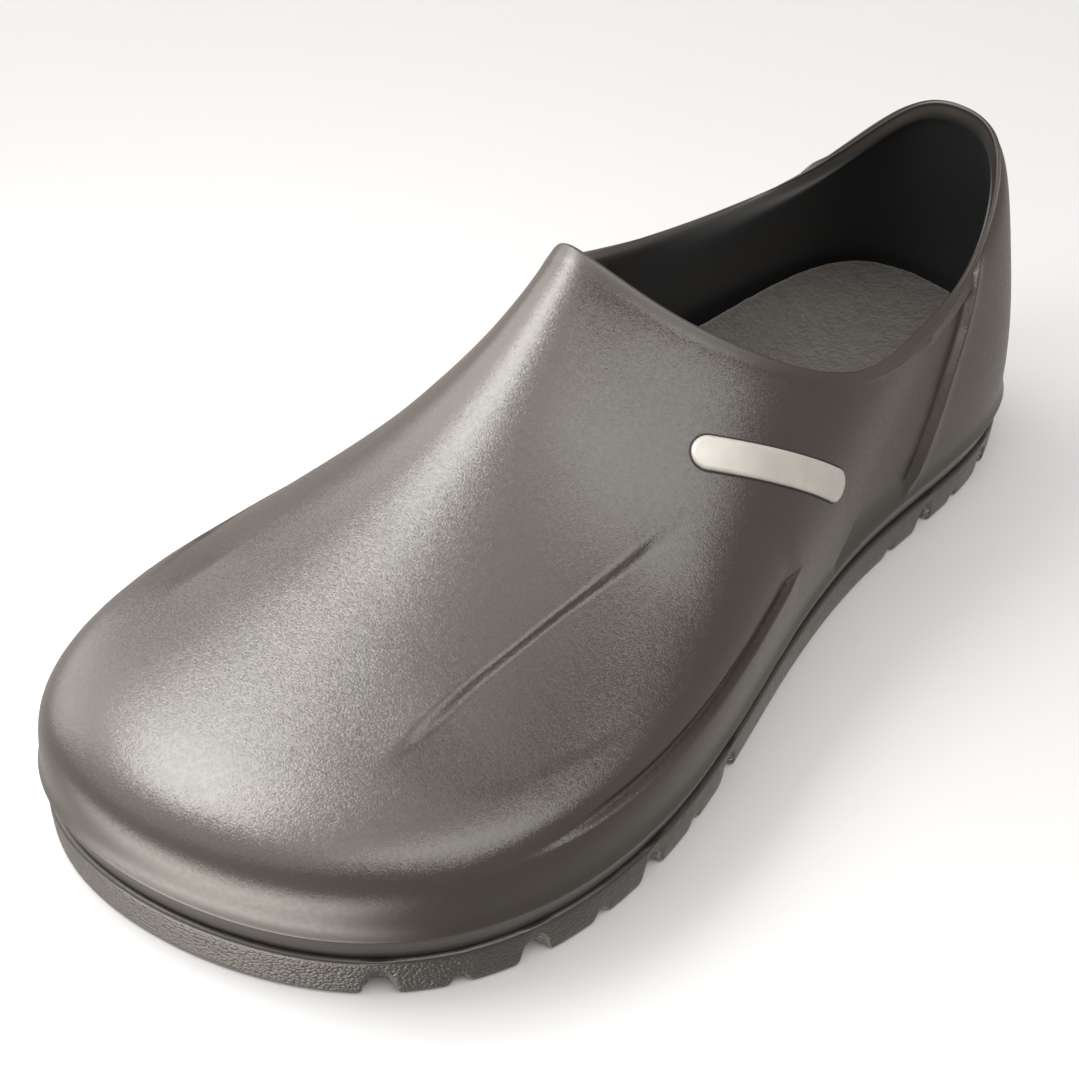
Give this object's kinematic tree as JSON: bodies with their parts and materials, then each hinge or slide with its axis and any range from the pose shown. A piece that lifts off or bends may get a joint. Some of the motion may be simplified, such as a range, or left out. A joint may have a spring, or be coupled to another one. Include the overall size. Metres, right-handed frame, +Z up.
{
  "type": "rubber garden clog",
  "caption": "Closed-heel moulded rubber garden clog for the left foot, with a removable contoured footbed, lugged outsole and small blank side plate.",
  "frame": {"origin": "centre of the bounding box in X and Y, on the ground plane under the sole", "axes": "+Z up; toe towards -Y, heel towards +Y; +X is the outer (lateral) side of this left shoe"},
  "size_m": [0.1243, 0.2916, 0.0972],
  "materials": {
    "upper": "satin, fine pebble grain",
    "outsole": "matte, coarse grain",
    "foam": "matte cork and foam",
    "cover": "felted cloth",
    "plate": "satin"
  },
  "bodies": {
    "shoe": {"upper_shell": "upper", "outsole": "outsole", "badge_plate": "plate", "footbed_core_front": "foam", "footbed_cover_front": "cover"},
    "footbed_heel": {"footbed_core_heel": "foam", "footbed_cover_heel": "cover"}
  },
  "joints": [
    {"name": "footbed_lift", "type": "hinge", "parent": "shoe", "child": "footbed_heel", "pos_m": [0, 0.05375, 0.0376], "axis": [1, 0, 0], "range_deg": [0, 10]}
  ]
}
